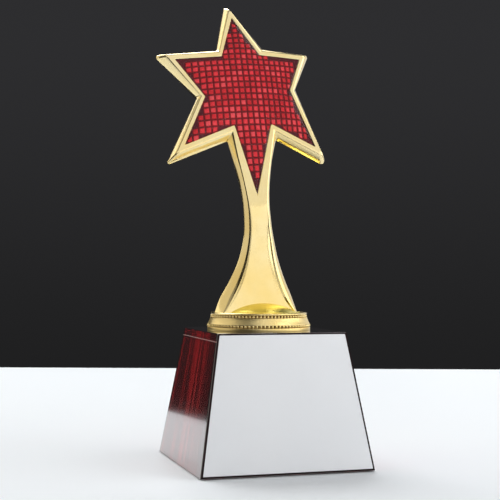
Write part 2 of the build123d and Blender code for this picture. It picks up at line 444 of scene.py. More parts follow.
@dataclass(frozen=True)
class LacqueredWood:
    """Red mahogany with upright darker stripes under a thick gloss lacquer; the nearly black arrises and top
    edge are painted shade, and the pale line under the top board is a painted highlight.
    """

    name: str = "lacquered_wood"
    along: Triple = (230.0, 230.0, 4.0)
    stripes: Triple = (165.0, 165.0, 3.0)
    pores: Triple = (900.0, 900.0, 18.0)
    apex: float = 0.3052
    high: float = 0.0768
    board: float = 0.0046
    # width of the painted pale highlight line under the top board
    painted_line_width: float = 0.00035
    # arris, rim and rim_core: widths of the painted shade along the corners and the top edge
    arris: float = 0.0015
    rim: float = 0.0009
    rim_core: float = 0.0004

    def build(self) -> Material:
        """Build the material."""
        s = Shading(self.name)
        drift = s.noise(s.place, 14.0, 2.0)
        grain = s.noise(self.veneer(s, self.along), 1.0, 6.0, 0.62)
        stripe = s.noise(self.veneer(s, self.stripes), 1.0, 1.0)
        fine = s.noise(self.veneer(s, self.pores), 1.0, 3.0)
        body = s.ramp(
            s.blend(grain, 0.6, drift),
            (0.30, (0.230, 0.003, 0.004)),
            (0.50, (0.440, 0.006, 0.008)),
            (0.72, (0.640, 0.015, 0.014)),
        )
        dark = s.mix(s.span(stripe, 0.49, 0.57, 0.0, 0.85), body, (0.040, 0.001, 0.002))
        flecked = s.mix(s.span(fine, 0.60, 0.74, 0.0, 0.35), dark, (0.012, 0.001, 0.001))
        # painted shade: near-black colour on the arrises and along the top edge
        arris_shaded = s.mix(self.painted_arris_shade(s), flecked, (0.010, 0.0015, 0.002))
        # painted highlight: thin pale line under the top board
        colour = s.mix(self.painted_line_share(s), arris_shaded, (0.75, 0.62, 0.58))
        shader = s.principled(
            Base_Color=colour, Roughness=0.12,
            Normal=s.bump(s.noise(s.place, 22.0, 2.0), 0.12, 0.0006),
        )
        shader.inputs["IOR"].default_value = 2.2
        shader.inputs["Coat Weight"].default_value = 1.0
        shader.inputs["Coat Roughness"].default_value = 0.07
        shader.inputs["Coat IOR"].default_value = 2.2
        return s.finish(shader)

    def veneer(self, s: Shading, scale: Triple) -> Socket:
        """Coordinates that follow the slanting faces, so that the grain runs straight up each of them.

        Args:
            s: the node tree.
            scale: repeats per metre along each axis.

        Returns:
            A vector socket.
        """
        axes = s.axes()
        shrink = s.sum("SUBTRACT", 1.0, s.sum("DIVIDE", axes["Z"], self.apex))
        join = s.node("ShaderNodeCombineXYZ")
        for axis, stretch in zip("XYZ", scale):
            spread = axes[axis] if axis == "Z" else s.sum("DIVIDE", axes[axis], shrink)
            s.feed(join.inputs[axis], s.sum("MULTIPLY", spread, stretch))
        return join.outputs[0]

    def painted_line_share(self, s: Shading) -> Socket:
        """Share of the painted pale highlight line under the top board, 1 on the line.

        Args:
            s: the node tree.

        Returns:
            A value socket.
        """
        off = s.sum("ABSOLUTE", s.sum("SUBTRACT", s.axes()["Z"], self.high - self.board))
        return s.span(off, self.painted_line_width / 2, self.painted_line_width, 0.75, 0.0)

    def painted_arris_shade(self, s: Shading) -> Socket:
        """How close a point is to one of the base's slanting corners or its top edge, where shade is painted
        near black.

        Args:
            s: the node tree.

        Returns:
            A value socket, 1 on the edge.
        """
        axes = s.axes()
        across, deep = s.sum("ABSOLUTE", axes["X"]), s.sum("ABSOLUTE", axes["Y"])
        corner = s.sum("ABSOLUTE", s.sum("SUBTRACT", across, deep))
        near = s.span(corner, self.arris, self.arris * 1.8, 1.0, 0.0)
        top = s.span(axes["Z"], self.high - self.rim, self.high - self.rim_core)
        return s.sum("MAXIMUM", near, top)


@dataclass(frozen=True)
class DarkEdging:
    """Near-black painted shade on the arrises and round the plate."""

    name: str = "dark_edging"

    def build(self) -> Material:
        """Build the material."""
        s = Shading(self.name)
        grain = s.noise(s.stretched((500.0, 500.0, 60.0)), 1.0, 3.0)
        colour = s.ramp(grain, (0.35, (0.010, 0.004, 0.005)), (0.65, (0.022, 0.007, 0.009)))
        shader = s.principled(Base_Color=colour, Roughness=s.span(grain, *MIDDLING, 0.45, 0.6))
        shader.inputs["Specular IOR Level"].default_value = 0.1
        return s.finish(shader)


@dataclass(frozen=True)
class SatinSilver:
    """Pale silver sheet with a very fine upright brushing."""

    name: str = "satin_silver"
    colour: Colour = (0.90, 0.91, 0.93)

    def build(self) -> Material:
        """Build the material."""
        s = Shading(self.name)
        brushed = s.noise(s.stretched((2600.0, 2600.0, 60.0)), 1.0, 4.0, 0.7)
        cloud = s.noise(s.place, 18.0, 2.0)
        colour = s.mix(s.span(cloud, *MIDDLING, 0.0, 0.25), self.colour, (0.80, 0.82, 0.85))
        shader = s.principled(
            Base_Color=colour, Metallic=0.5, Roughness=s.span(brushed, *MIDDLING, 0.42, 0.52),
            Normal=s.bump(brushed, 0.06, 0.00003),
        )
        return s.finish(shader)


@dataclass(frozen=True)
class GreenFelt:
    """Short dense felt."""

    name: str = "green_felt"

    def build(self) -> Material:
        """Build the material."""
        s = Shading(self.name)
        hair = s.noise(s.place, 2200.0, 5.0, 0.7)
        colour = s.ramp(hair, (0.3, (0.006, 0.016, 0.010)), (0.7, (0.03, 0.07, 0.045)))
        shader = s.principled(Base_Color=colour, Roughness=0.95, Normal=s.bump(hair, 0.8, 0.0003))
        shader.inputs["Sheen Weight"].default_value = 0.4
        return s.finish(shader)


@dataclass(frozen=True)
class PlainMetal:
    """Hidden fasteners and the cast block: dull zinc with mottling."""

    name: str
    colour: Colour
    roughness: float = 0.35

    def build(self) -> Material:
        """Build the material."""
        s = Shading(self.name)
        mottle = s.noise(s.place, 400.0, 4.0)
        colour = s.mix(s.span(mottle, 0.35, 0.65, 0.0, 0.4), self.colour, tuple(c * 0.7 for c in self.colour))
        rough = s.span(mottle, *MIDDLING, self.roughness - 0.08, self.roughness + 0.12)
        shader = s.principled(Base_Color=colour, Metallic=1.0, Roughness=rough)
        return s.finish(shader)


@dataclass(frozen=True)
class RawWood:
    """Sawn unfinished softwood of the bottom board and the corner blocks."""

    name: str = "raw_wood"

    def build(self) -> Material:
        """Build the material."""
        s = Shading(self.name)
        grain = s.noise(s.stretched((30.0, 420.0, 420.0)), 1.0, 5.0, 0.6)
        colour = s.ramp(grain, (0.35, (0.32, 0.19, 0.09)), (0.65, (0.56, 0.39, 0.22)))
        shader = s.principled(Base_Color=colour, Roughness=0.75, Normal=s.bump(grain, 0.3, 0.0003))
        return s.finish(shader)


@dataclass(frozen=True)
class StudioPaper:
    """Plain pale table top."""

    name: str = "studio_paper"
    colour: Colour = (0.84, 0.87, 0.90)

    def build(self) -> Material:
        """Build the material."""
        s = Shading(self.name)
        cloud = s.noise(s.place, 3.0, 2.0)
        colour = s.mix(s.span(cloud, *MIDDLING, 0.0, 0.2), self.colour, (0.80, 0.83, 0.87))
        shader = s.principled(Base_Color=colour, Roughness=0.55)
        return s.finish(shader)


@dataclass(frozen=True)
class DarkBoard:
    """Dark charcoal board that glows as painted light, paler towards its top and darker towards its foot as
    painted shade.
    """

    name: str = "dark_board"
    # painted light: glow of the board at its foot and at its top
    low: Colour = (0.0130, 0.0130, 0.0135)
    high: Colour = (0.0265, 0.0265, 0.0285)
    fade: Point = (-0.25, 0.75)

    def build(self) -> Material:
        """Build the material."""
        s = Shading(self.name)
        # painted light: the board glows, less towards its foot as painted shade
        painted_glow = s.mix(s.span(s.axes()["Z"], *self.fade), self.low, self.high)
        fibre = s.noise(s.place, 3.0, 2.0)
        shader = s.principled(
            Base_Color=(0.002, 0.002, 0.002), Roughness=s.span(fibre, *MIDDLING, 0.9, 1.0),
            Emission_Color=painted_glow, Emission_Strength=1.0,
        )
        shader.inputs["Specular IOR Level"].default_value = 0.0
        return s.finish(shader)


class Wardrobe:
    """Builds each finish once and hands it out."""

    def __init__(self) -> None:
        """Build all the finishes."""
        self.gold = PolishedGold().build()
        self.hammered = PolishedGold("hammered_gold", roughness=(0.28, 0.4), dimples=0.00022).build()
        # painted shade: dark gold for the grooves behind the beads
        self.groove_shade = PolishedGold("painted_groove_shade", (0.30, 0.17, 0.05), (0.16, 0.08, 0.02), (0.4, 0.5)).build()
        # painted shade for the arrises and the border round the plate
        self.edging = DarkEdging().build()
        self.cells = RedCells().build()
        self.ground = MaroonGround().build()
        self.lines = MaroonGround("red_lines", (0.16, 0.003, 0.008), (0.30, 0.008, 0.018)).build()
        self.cap = PolishedGold("warm_gold", (1.0, 0.92, 0.25), (1.0, 0.86, 0.21), (0.30, 0.38)).build()
        self.resin = ClearResin().build()
        self.lacquer = LacqueredWood().build()
        self.silver = SatinSilver().build()
        self.felt = GreenFelt().build()
        self.zinc = PlainMetal("zinc_steel", (0.62, 0.63, 0.65)).build()
        self.block = PlainMetal("block_alloy", (0.55, 0.55, 0.57), 0.5).build()
        self.raw_wood = RawWood().build()
        self.glue = PlainMetal("glue_film", (0.5, 0.5, 0.48), 0.6).build()


# ---------------------------------------------------------------- mesh helpers


def finished_piece(name: str, bm: Mesh, *materials: Material) -> bpy.types.Object:
    """Turn a bmesh into a linked object with smooth faces and outward normals.

    Args:
        name: the piece's name.
        bm: the bmesh, which is freed.
        materials: its materials in slot order.

    Returns:
        The new object.
    """
    bmesh.ops.remove_doubles(bm, verts=bm.verts, dist=WELD)
    bmesh.ops.recalc_face_normals(bm, faces=bm.faces)
    for face in bm.faces:
        face.smooth = True
    mesh = bpy.data.meshes.new(name)
    bm.to_mesh(mesh)
    bm.free()
    for material in materials:
        mesh.materials.append(material)
    piece = bpy.data.objects.new(name, mesh)
    bpy.context.scene.collection.objects.link(piece)
    return piece


def own(piece: bpy.types.Object, slot: str, *nodes: str) -> bpy.types.Object:
    """Make a piece ride on the trophy and hide the CAD nodes it stands for.

    Args:
        piece: the piece.
        slot: not used.
        nodes: the CAD nodes it replaces.

    Returns:
        The same piece.
    """
    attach(piece, BODY)
    if nodes:
        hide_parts(*nodes)
    log.info("piece %s: %d faces", piece.name, len(piece.data.polygons))
    return piece


def weigh_normals(piece: bpy.types.Object, sharp: float = 40.0) -> None:
    """Keep large flat faces flat next to their rounded edges.

    Args:
        piece: the piece.
        sharp: angle in degrees above which an edge stays sharp.
    """
    piece.data.set_sharp_from_angle(angle=math.radians(sharp))
    modifier = piece.modifiers.new("weighted", "WEIGHTED_NORMAL")
    modifier.keep_sharp = True
    modifier.weight = NORMAL_WEIGHT


def rounded_outline(points: list[Point], radii: list[float], steps: int) -> list[Point]:
    """Round each corner of a closed outline so that the arc's middle still passes the given point.

    Args:
        points: the rounded tips and notches, in order.
        radii: one radius per corner.
        steps: arc steps per corner.

    Returns:
        The rounded outline, steps + 1 points per corner.
    """
    sharp = []
    for i, corner in enumerate(points):
        here = Vector(corner)
        before, after = Vector(points[i - 1]) - here, Vector(points[(i + 1) % len(points)]) - here
        bisector = (before.normalized() + after.normalized()).normalized()
        sharp.append(here - bisector * radii[i] * (1 / math.sin(before.angle(after) / 2) - 1))
    rounded = []
    for i, here in enumerate(sharp):
        before, after = sharp[i - 1] - here, sharp[(i + 1) % len(sharp)] - here
        half = before.angle(after) / 2
        reach = min(radii[i] / math.tan(half), ARC_REACH * before.length, ARC_REACH * after.length)
        radius = reach * math.tan(half)
        bisector = (before.normalized() + after.normalized()).normalized()
        centre = here + bisector * (radius / math.sin(half))
        first = here + before.normalized() * reach - centre
        last = here + after.normalized() * reach - centre
        turn = first.angle_signed(last)
        for k in range(steps + 1):
            spoke = first.copy()
            spoke.rotate(Matrix.Rotation(-turn * k / steps, 2))
            rounded.append(tuple(centre + spoke))
    return rounded


def closed_loop(bm: Mesh, places: list[Vector | Triple]) -> tuple[list[Vert], list[Edge]]:
    """Draw a closed chain of edges.

    Args:
        bm: the mesh being made.
        places: where its vertices go, in order.

    Returns:
        Its vertices and its edges.
    """
    row = [bm.verts.new(place) for place in places]
    return row, [bm.edges.new((row[k - 1], row[k])) for k in range(len(row))]


def fill(bm: Mesh, edges: list[Edge], normal: Triple = UP) -> None:
    """Fill loops of edges with triangles that face one way."""
    bmesh.ops.triangle_fill(bm, use_beauty=True, use_dissolve=False, edges=edges, normal=normal)


def extruded_row(bm: Mesh, row: list[Vert], edges: list[Edge],
                 places: list[Vector]) -> tuple[list[Vert], list[Edge]]:
    """Extrude a chain of edges and put its new vertices in place.

    Args:
        bm: the mesh being made.
        row: the chain's vertices.
        edges: the chain's edges.
        places: where each new vertex goes, in the row's order.

    Returns:
        The new vertices, in the same order, and the new edges.
    """
    made = bmesh.ops.extrude_edge_only(bm, edges=edges)["geom"]
    fresh = {g for g in made if isinstance(g, Vert)}
    new_row = []
    for vert in row:
        new_row.append(next(e.other_vert(vert) for e in vert.link_edges if e.other_vert(vert) in fresh))
    for vert, place in zip(new_row, places):
        vert.co = place
    chain = [g for g in made if isinstance(g, Edge) and set(g.verts) <= fresh]
    return new_row, chain


def shrunk(points: list[Point], inset: float) -> list[Point]:
    """An outline moved inward by the same distance everywhere.

    Args:
        points: the closed outline, clockwise.
        inset: how far, in millimetres.

    Returns:
        The inner outline.
    """
    moved = []
    for i, point in enumerate(points):
        here = Vector(point)
        before = (here - Vector(points[i - 1])).normalized()
        after = (Vector(points[(i + 1) % len(points)]) - here).normalized()
        normals = [Vector((d.y, -d.x)) for d in (before, after)]
        bisector = (normals[0] + normals[1]).normalized()
        moved.append(tuple(here + bisector * (inset / max(LEAST_MITRE, bisector.dot(normals[0])))))
    return moved


def smooth_through(knots: list[float], values: list[float], at: float) -> float:
    """Smooth curve through stations, by cubic pieces with averaged slopes.

    Args:
        knots: station positions, rising.
        values: value at each station.
        at: where to read the curve.

    Returns:
        The value there.
    """
    at = min(max(at, knots[0]), knots[-1])
    i = max(k for k in range(len(knots) - 1) if knots[k] <= at)

    def slope(k: int) -> float:
        """Slope at station k."""
        low, high = max(k - 1, 0), min(k + 1, len(knots) - 1)
        return (values[high] - values[low]) / (knots[high] - knots[low])

    width = knots[i + 1] - knots[i]
    t = (at - knots[i]) / width
    start, end = slope(i) * width, slope(i + 1) * width
    rise = values[i + 1] - values[i]
    return values[i] + t * start + t * t * (3 * rise - 2 * start - end) + t**3 * (start + end - 2 * rise)


# ---------------------------------------------------------------- figure


@dataclass
class FigureSpace:
    """Carries points from the figure's flat drawing to its place: upright stem, then leaning star.

    Sizes are millimetres, as on the drawing.
    """

    lean: float = math.radians(12.0)
    neck: float = 150.0
    bend: float = 60.0
    stem_y: float = -1.3

    @property
    def bend_low(self) -> float:
        """Height where the stem starts to bend back."""
        return self.neck - self.bend * math.sin(self.lean)

    @property
    def neck_up(self) -> float:
        """Length along the middle line, from the ground, at the neck."""
        return self.bend_low + self.bend * self.lean

    def place(self, across: float, up: float, out: float) -> Vector:
        """Place of a drawing point.

        Args:
            across: millimetres to the right.
            up: millimetres along the middle line from the ground.
            out: millimetres in front of the mid surface.

        Returns:
            The point in metres.
        """
        angle = min(max((up - self.bend_low) / self.bend, 0.0), self.lean)
        y = self.stem_y + self.bend * (1 - math.cos(angle))
        z = self.bend_low + self.bend * math.sin(angle)
        beyond = up - self.neck_up if up > self.neck_up else min(up - self.bend_low, 0.0)
        y += beyond * math.sin(angle) - out * math.cos(angle)
        z += beyond * math.cos(angle) + out * math.sin(angle)
        return Vector((across, y, z)) * MM

    def star(self, across: float, up: float, out: float) -> Vector:
        """Place of a point drawn in the star's own plane, measured from the neck."""
        return self.place(across, self.neck_up + up, out)


@dataclass
class StarOutlines:
    """The star's outlines in its own plane, from the neck: panel opening, lip edge and girdle."""

    panel: list[Point] = field(default_factory=lambda: [
        (-13.9, 114.9), (2.4, 92.3), (27.5, 90.7), (20.4, 70.1), (33.8, 35.3), (7.3, 48.1),
        (-4.2, 3.9), (-16.1, 46.4), (-46.6, 33.4), (-33.1, 63.7), (-50.2, 86.2), (-21.6, 90.0),
    ])
    lip: list[Point] = field(default_factory=lambda: [
        (-16.9, 43.8), (-49.4, 30.2), (-34.8, 63.6), (-53.1, 87.6), (-22.6, 91.6),
        (-14.6, 118.2), (3.0, 93.9), (29.5, 92.2), (21.9, 70.2), (36.5, 32.2), (8.8, 45.4),
    ])
    girdle: list[Point] = field(default_factory=lambda: [
        (-20.3, 37.8), (-56.0, 23.2), (-37.0, 64.6), (-60.4, 88.6), (-23.4, 95.0),
        (-16.6, 122.7), (5.6, 97.4), (34.2, 94.6), (25.0, 72.4), (40.2, 26.2), (11.6, 39.4),
    ])
    panel_radii: list[float] = field(default_factory=lambda: [
        0.3, 0.6, 0.7, 0.6, 0.3, 0.6, 0.1, 0.6, 0.3, 0.6, 0.4, 0.6,
    ])
    lip_radii: list[float] = field(default_factory=lambda: [
        2.4, 0.6, 0.8, 0.8, 0.8, 0.7, 0.8, 0.8, 0.8, 1.0, 2.4,
    ])
    girdle_radii: list[float] = field(default_factory=lambda: [
        4.2, 1.1, 1.8, 1.6, 1.4, 1.1, 1.4, 1.5, 1.8, 2.2, 4.2,
    ])
    centre: Point = (-8.0, 63.0)


@dataclass
class Stem:
    """Edges of the stem by height along its middle line, from the foot up into the star."""

    up: list[float] = field(
        default_factory=lambda: [86.4, 95.0, 105.0, 117.0, 130.0, 139.0, 150.1, 163.1, 177.1])
    left_girdle: list[float] = field(
        default_factory=lambda: [-29.4, -26.2, -20.5, -15.1, -12.1, -11.8, -12.3, -13.8, -16.9])
    left_edge: list[float] = field(
        default_factory=lambda: [-25.6, -18.8, -13.6, -10.3, -8.6, -8.5, -9.5, -11.6, -14.2])
    right_edge: list[float] = field(
        default_factory=lambda: [17.0, 10.9, 6.9, 4.3, 2.6, 1.5, 1.3, 2.4, 4.8])
    right_girdle: list[float] = field(
        default_factory=lambda: [20.9, 18.0, 13.6, 9.4, 6.4, 4.9, 4.1, 5.0, 7.2])
    depth: list[float] = field(
        default_factory=lambda: [8.6, 7.4, 6.4, 5.4, 4.8, 4.7, 4.6, 4.6, 4.6])

    def read(self, column: str, up: float) -> float:
        """One of the edges at a height."""
        return smooth_through(self.up, getattr(self, column), up)


@dataclass
class Figure:
    """The gilded casting: two halves that meet on the mid surface."""

    space: FigureSpace
    outlines: StarOutlines
    stem: Stem = field(default_factory=Stem)
    corner_steps: int = 6
    columns: int = 8
    floor_out: float = 2.7
    inner_chamfer: float = 0.35
    facet: tuple[float, ...] = (0.5, 0.15)
    belly: float = 0.35
    above_neck: tuple[float, ...] = (20.0, 13.0, 6.5)
    bend_step: float = 1.6
    bend_rows: int = 8
    stem_rows: int = 20
    facet_fade: float = 25.0
    corner_star: float = 0.30
    corner_extra: float = 0.10
    corner_span: float = 60.0

    def stations(self) -> list[float]:
        """Heights of the stem's cross-sections, from the star down to the foot."""
        foot, neck = self.stem.up[0], self.space.neck_up
        above = [self.stem.up[-1]] + [neck + more for more in self.above_neck]
        below = [neck - self.bend_step * k for k in range(1, self.bend_rows + 1)]
        low = below[-1]
        rest = [low + (foot - low) * k / self.stem_rows for k in range(1, self.stem_rows + 1)]
        return above + [neck] + below + rest

    def build_half(self, side: Side, gold: Material) -> bpy.types.Object:
        """Build one half.

        Args:
            side: front or rear.
            gold: its material.

        Returns:
            The piece.
        """
        bm = bmesh.new()
        rows = self.stem_front(bm)
        outer = self.star_front(bm, rows)
        self.flank(bm, outer)
        for vert in bm.verts:
            across, up, out = vert.co
            vert.co = self.space.place(across, up, out * side.value)
        name = f"gilded_{side.name.lower()}_half"
        piece = finished_piece(name, bm, gold)
        weigh_normals(piece)
        return own(piece, "gold", f"figure_{side.name.lower()}_half")

    def row_points(self, up: float) -> list[Vector]:
        """Points across the stem's front face at a height, left to right, turned back at the right."""
        left, right = self.stem.read("left_edge", up), self.stem.read("right_edge", up)
        out = self.stem.read("depth", up)
        fade = min(max((self.space.neck - up) / self.facet_fade, 0.0), 1.0)
        drops = [0.0] * (self.columns + 1)
        for k, drop in enumerate(self.facet):
            drops[-1 - k] = drop * fade
        for k in range(self.columns // 2, self.columns + 1):
            drops[k] += self.belly * fade * (2 * k / self.columns - 1) ** 2
        return [
            Vector((left + (right - left) * k / self.columns, up, out - drops[k]))
            for k in range(self.columns + 1)
        ]

    def stem_front(self, bm: Mesh) -> list[list[Vert]]:
        """Draw the stem's front face as a strip that is extruded down from the neck.

        Args:
            bm: the mesh being made.

        Returns:
            Its rows of vertices, from the neck to the foot.
        """
        heights = [h for h in self.stations() if h <= self.space.neck_up]
        row = [bm.verts.new(p) for p in self.row_points(heights[0])]
        edges = [bm.edges.new(pair) for pair in zip(row, row[1:])]
        rows = [row]
        for up in heights[1:]:
            row, edges = extruded_row(bm, row, edges, self.row_points(up))
            rows.append(row)
        return rows

    def star_front(self, bm: Mesh, rows: list[list[Vert]]) -> Ring:
        """Fill the star's front round the panel opening, and sink the opening.

        Args:
            bm: the mesh being made.
            rows: the stem's rows of vertices.

        Returns:
            The outer loop: each vertex with its lip point, girdle point and depth.
        """
        o = self.outlines
        neck = self.space.neck_up
        top = self.stem.depth[-1]
        lip = rounded_outline(o.lip, o.lip_radii, self.corner_steps)
        girdle = rounded_outline(o.girdle, o.girdle_radii, self.corner_steps)
        loop = [(Vector((x, neck + u)), Vector((a, neck + b)), top)
                for (x, u), (a, b) in zip(lip, girdle)]
        above = [h for h in self.stations() if h > neck]
        right = [self.side_station("right", h) for h in above]
        left = [self.side_station("left", h) for h in reversed(above)]
        fresh = left + loop + right
        verts = [bm.verts.new((p.x, p.y, out)) for p, _, out in fresh]
        chain = [rows[0][0]] + verts + [rows[0][-1]]
        outer_edges = [bm.edges.new(pair) for pair in zip(chain, chain[1:])]
        neck_edges = [bm.edges.get(pair) for pair in zip(rows[0], rows[0][1:])]

        panel = rounded_outline(o.panel, o.panel_radii, 2)
        rim, rim_edges = closed_loop(bm, [(x, neck + u, top) for x, u in panel])
        fill(bm, outer_edges + neck_edges + rim_edges)
        self.sink_opening(bm, rim, rim_edges, panel, neck, top)

        sides = [self.side_station("right", row[-1].co.y) for row in rows]
        others = [self.side_station("left", row[0].co.y) for row in rows]
        bottom = self.bottom_stations(rows[-1])
        ring = list(zip(verts, fresh))
        ring += [(row[-1], station) for row, station in zip(rows, sides)]
        ring += [(vert, station) for vert, station in zip(reversed(rows[-1][1:-1]), reversed(bottom))]
        ring += [(row[0], station) for row, station in reversed(list(zip(rows, others)))]
        return ring

    def sink_opening(self, bm: Mesh, wall: list[Vert], edges: list[Edge], panel: list[Point],
                     neck: float, top: float) -> None:
        """Chamfer the panel opening's edge and carry its wall down to the recess floor.

        Args:
            bm: the mesh being made.
            wall: the opening's vertices.
            edges: the opening's edges.
            panel: the opening's outline.
            neck: length along the middle line at the neck.
            top: how far the lip stands out.
        """
        inner = shrunk(panel, self.inner_chamfer)
        for out in (top - self.inner_chamfer, self.floor_out):
            wall, edges = extruded_row(bm, wall, edges, [Vector((x, neck + u, out)) for x, u in inner])
        fill(bm, edges)

    def side_station(self, side: str, up: float) -> Station:
        """Lip point, girdle point and depth on one side of the stem."""
        return (
            Vector((self.stem.read(f"{side}_edge", up), up)),
            Vector((self.stem.read(f"{side}_girdle", up), up)),
            self.stem.read("depth", up),
        )

    def bottom_stations(self, row: list[Vert]) -> list[Station]:
        """The same for the inner vertices of the foot's lowest row, left to right."""
        up = row[0].co.y
        left, right = self.stem.read("left_girdle", up), self.stem.read("right_girdle", up)
        made = []
        for k, vert in enumerate(row[1:-1], start=1):
            across = left + (right - left) * k / self.columns
            made.append((Vector((vert.co.x, up)), Vector((across, up)), vert.co.z))
        return made

    def flank_profile(self, corner: float) -> list[Point]:
        """Section from the lip's edge to the girdle, as share outward and share of the depth.

        Args:
            corner: share of the width taken by the rounded edge of the front face.

        Returns:
            The profile's points after its first.
        """
        edge = Vector((corner, 1.0))
        shoulder = Vector((0.9, 0.3))
        girdle = Vector((1.0, 0.0))
        slope = shoulder - edge

        def arc(a: Vector, b: Vector, c: Vector, t: float) -> Vector:
            """Point of the quadratic curve a, b, c."""
            return a * (1 - t) ** 2 + b * (2 * t * (1 - t)) + c * t * t

        start = Vector((0.0, 1.0))
        leave = edge + slope * min(0.5, corner)
        arrive = shoulder - slope * 0.3
        points = [arc(start, edge, leave, t) for t in (0.25, 0.5, 0.75, 1.0)]
        points += [arc(arrive, shoulder, girdle, t) for t in (0.0, 0.25, 0.5, 0.75)]
        points += [Vector((1.0, 0.02)), Vector((0.992, 0.0))]
        return [tuple(p) for p in points]

    def corner_share(self, up: float) -> float:
        """The front edge is crisp on the star and gets rounder towards the foot."""
        share = min(max((self.space.neck - up) / self.corner_span, 0.0), 1.0)
        return self.corner_star + self.corner_extra * share

    def flank(self, bm: Mesh, ring: Ring) -> None:
        """Extrude the outer loop round the flank to the seam and close it there.

        Args:
            bm: the mesh being made.
            ring: the outer loop, from star_front.
        """
        row = [vert for vert, _ in ring]
        edges = [bm.edges.get((row[k - 1], row[k])) for k in range(len(row))]
        steps = len(self.flank_profile(self.corner_star))
        for k in range(steps):
            places = []
            for _, (lip, girdle, depth) in ring:
                share, deep = self.flank_profile(self.corner_share(lip.y))[k]
                spot = lip.lerp(girdle, share)
                places.append(Vector((spot.x, spot.y, depth * deep)))
            row, edges = extruded_row(bm, row, edges, places)
        fill(bm, edges)


# ---------------------------------------------------------------- panels


